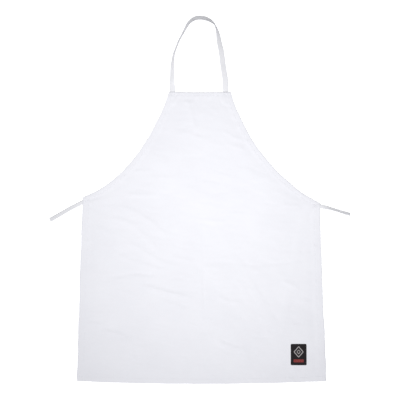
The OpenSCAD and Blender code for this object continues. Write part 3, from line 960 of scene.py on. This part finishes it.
def make_seams():
    """Every row of stitches on the cloth, and the boxes that hold the tapes."""
    y = TOP_Y - TOP_HEM_W + STITCH_IN
    reach = float(half_width(np.array(y))) - 1 * MM
    x = np.linspace(-reach, reach, 120)
    add_seam("top_stitches", [seam(x, np.full(120, y))], "top_hem_stitching", "bib")
    x = np.linspace(-CORNER_X + 1 * MM, CORNER_X - 1 * MM, 360)
    add_seam("bottom_stitches", [seam(x, bottom_line(x) + BOTTOM_HEM_W - STITCH_IN)],
             "bottom_hem_stitching", "skirt")
    for side, s in (("left", -1), ("right", 1)):
        y = np.linspace(CORNER_Y + BOTTOM_HEM_W, WAIST_Y - 0.004, 260)
        add_seam(f"{side}_side_stitches", [seam(s * (half_width(y) - SIDE_HEM_W + STITCH_IN), y)],
                 f"{side}_side_stitching", "skirt")
        x, y = armhole_curve(np.linspace(ARM_LOW + 0.04, ARM_TOP, 300), ARM_HEM_W - STITCH_IN)
        x, y = x[y < TOP_Y - TOP_HEM_W], y[y < TOP_Y - TOP_HEM_W]
        add_seam(f"{side}_armhole_stitches", [seam(s * x, y)], f"{side}_armhole_stitching", None)
        h = TOP_HEM_W - 5 * MM
        strap_box = box_of_stitches(s * STRAP_ROOT_X + STRAP_SKEW, TOP_Y - TACK_IN - h / 2,
                                    STRAP_W - 5 * MM, h)
        add_seam(f"{side}_strap_box", strap_box, f"{side}_strap_tack", "bib", **TACK)
        tie_box = box_of_stitches(s * (TIE_HINGE_X - TIE_END_L / 2 - 1.5 * MM), TIE_ROOT_Y,
                                  TIE_END_L - 8 * MM, TIE_W - 2 * TACK_IN)
        add_seam(f"{side}_tie_box", tie_box, f"{side}_tie_tack", "skirt", **TACK)


make_seams()


# ---- Label ----

LABEL_T = LABEL_BOX[1].z - LABEL_BOX[0].z
LABEL_C = (LABEL_BOX[0] + LABEL_BOX[1]) / 2
LABEL_W = LABEL_BOX[1].x - LABEL_BOX[0].x
LABEL_H = LABEL_BOX[1].y - LABEL_BOX[0].y
LABEL_ROUND = 3.0 * MM
LABEL_TOP = LABEL_T + 0.1 * MM      # its face, over the cloth's
LABEL_SINK = 0.05 * MM              # how far its back sinks into the cloth
LABEL_N = 56                        # points across and up its mesh
LABEL_HEM = 2 * MM                  # how far inside its edge its stitches run
DIAMOND_Y = 8 * MM                  # both diamonds' middle, over the label's own
DIAMOND, CENTRE = (27 * MM, 31 * MM), (10 * MM, 12 * MM)
DIAMOND_BAR, CENTRE_BAR, BAND_BAR = 3.0 * MM, 2.4 * MM, 2.8 * MM
BAND_HALF_W = 15 * MM
BAND_LINES = (-15.5 * MM, -18.5 * MM, -21.5 * MM)
YARN_GAP, YARN_R = 0.55 * MM, 0.3 * MM


def add_label_patch():
    """The woven patch, with rounded corners and a soft rim."""
    t = np.linspace(-1, 1, LABEL_N)
    rows = t * LABEL_H / 2
    past = np.clip(np.abs(rows) - (LABEL_H / 2 - LABEL_ROUND), 0, LABEL_ROUND)
    widths = LABEL_W / 2 - (LABEL_ROUND - np.sqrt(np.maximum(LABEL_ROUND**2 - past * past, 0)))
    x = LABEL_C.x + widths[:, None] * t[None, :]
    y = LABEL_C.y + rows[:, None] + 0 * x
    rim = np.minimum(1 - np.abs(t[None, :]), 1 - np.abs(t[:, None]))
    soft = np.sqrt(np.clip(rim * LABEL_N / 4, 0, 1))
    top, _ = on_face(x, y, (LABEL_TOP + LABEL_SINK) * (0.35 + 0.65 * soft) - LABEL_SINK)
    bottom, _ = on_face(x, y, 0 * x - LABEL_SINK)
    patch = slab_mesh("label_patch", top, bottom, np.stack([x, y], -1), LABEL)
    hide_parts("label")
    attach(patch, "skirt")


def bars(name, lines, material, width, node=None):
    """Raised satin bars made of short threads laid side by side across each line."""
    threads = []
    half = np.array([-0.5, 0.0, 0.5])[None, :] * width
    for (ax, ay), (bx, by) in lines:
        span = math.dist((ax, ay), (bx, by))
        ux, uy = (bx - ax) / span, (by - ay) / span
        s = np.arange(YARN_R, span, YARN_GAP)[:, None]
        points, normals = on_face(LABEL_C.x + ax + ux * s + uy * half,
                                  LABEL_C.y + ay + uy * s - ux * half, LABEL_TOP)
        threads += list(zip(points, normals))
    piece = stitch_mesh(name, threads, material, pitch=width, length=width, radius=YARN_R)
    if node:
        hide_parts(node)
    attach(piece, "skirt")


def ring_of(points):
    """The sides of a closed shape, as pairs of points."""
    return list(zip(points, points[1:] + points[:1]))


def diamond(w, h):
    """The sides of a diamond on the label."""
    return ring_of([(0, DIAMOND_Y + h / 2), (w / 2, DIAMOND_Y),
                    (0, DIAMOND_Y - h / 2), (-w / 2, DIAMOND_Y)])


def make_label():
    """The patch, a generic mark of two diamonds over three bars, and the stitches round it."""
    add_label_patch()
    bars("label_diamond", diamond(*DIAMOND), GREY_YARN, DIAMOND_BAR, "label_emblem")
    bars("label_centre", diamond(*CENTRE), GREY_YARN, CENTRE_BAR)
    bars("label_band", [((-BAND_HALF_W, y), (BAND_HALF_W, y)) for y in BAND_LINES], RED_YARN, BAND_BAR)
    w, h = LABEL_W - 2 * LABEL_HEM, LABEL_H - 2 * LABEL_HEM
    lines = []
    for a, b in ring_of([(i * w / 2, j * h / 2) for i, j in RECTANGLE]):
        x, y = np.linspace(a, b, 20).T
        lines.append(on_face(LABEL_C.x + x, LABEL_C.y + y, LABEL_T))
    add_seam("label_stitches", lines, "label_stitching", "skirt", BLACK_YARN,
             pitch=2.6 * MM, length=2.0 * MM)


make_label()


# ---- Floor and light ----

FLOOR_SIZE = 40.0
POOL_AT = (0.03, -0.01, 1.1)
POOL_SIZE = (0.4, 0.8)
POOL_POWER, SUN_POWER, WORLD_POWER = 9.9, 1.25, 0.22
SUN_WAY = (0.35, 0.90, -1.0)


def make_floor():
    """A plain white floor just under the apron, with a little light of its own."""
    bpy.ops.mesh.primitive_plane_add(size=FLOOR_SIZE, location=(0, 0, -0.02 * MM))
    floor = bpy.context.object
    floor.name = "floor"
    n = Nodes("floor_white", Roughness=0.9)
    n.bsdf.inputs["Base Color"].default_value = (0.9, 0.9, 0.9, 1)
    n.bsdf.inputs["Emission Color"].default_value = (1, 1, 1, 1)
    n.bsdf.inputs["Emission Strength"].default_value = 0.45
    floor.data.materials.append(n.material)


def add_light(name, kind, power, way):
    """A light that shines along a direction."""
    light = bpy.data.lights.new(name, kind)
    light.energy = power
    obj = bpy.data.objects.new(name, light)
    obj.rotation_euler = Vector(way).to_track_quat("-Z", "Y").to_euler()
    bpy.context.scene.collection.objects.link(obj)
    return obj


def make_light():
    """A soft pool of light over the middle, a broad sun from the bottom left, and a pale world."""
    pool = add_light("pool", "AREA", POOL_POWER, (0, 0, -POOL_AT[2]))
    pool.data.shape = "RECTANGLE"
    pool.data.size, pool.data.size_y = POOL_SIZE
    pool.data.color = (1, 1, 0.985)
    pool.visible_camera = False
    pool.location = POOL_AT
    key = add_light("key", "SUN", SUN_POWER, SUN_WAY)
    key.data.angle = math.radians(12)
    world = bpy.data.worlds.new("studio")
    world.use_nodes = True
    world.node_tree.nodes["Background"].inputs[0].default_value = (0.93, 0.945, 1.0, 1)
    world.node_tree.nodes["Background"].inputs[1].default_value = WORLD_POWER
    bpy.context.scene.world = world
    bpy.context.scene.view_settings.view_transform = "Standard"


make_floor()
make_light()
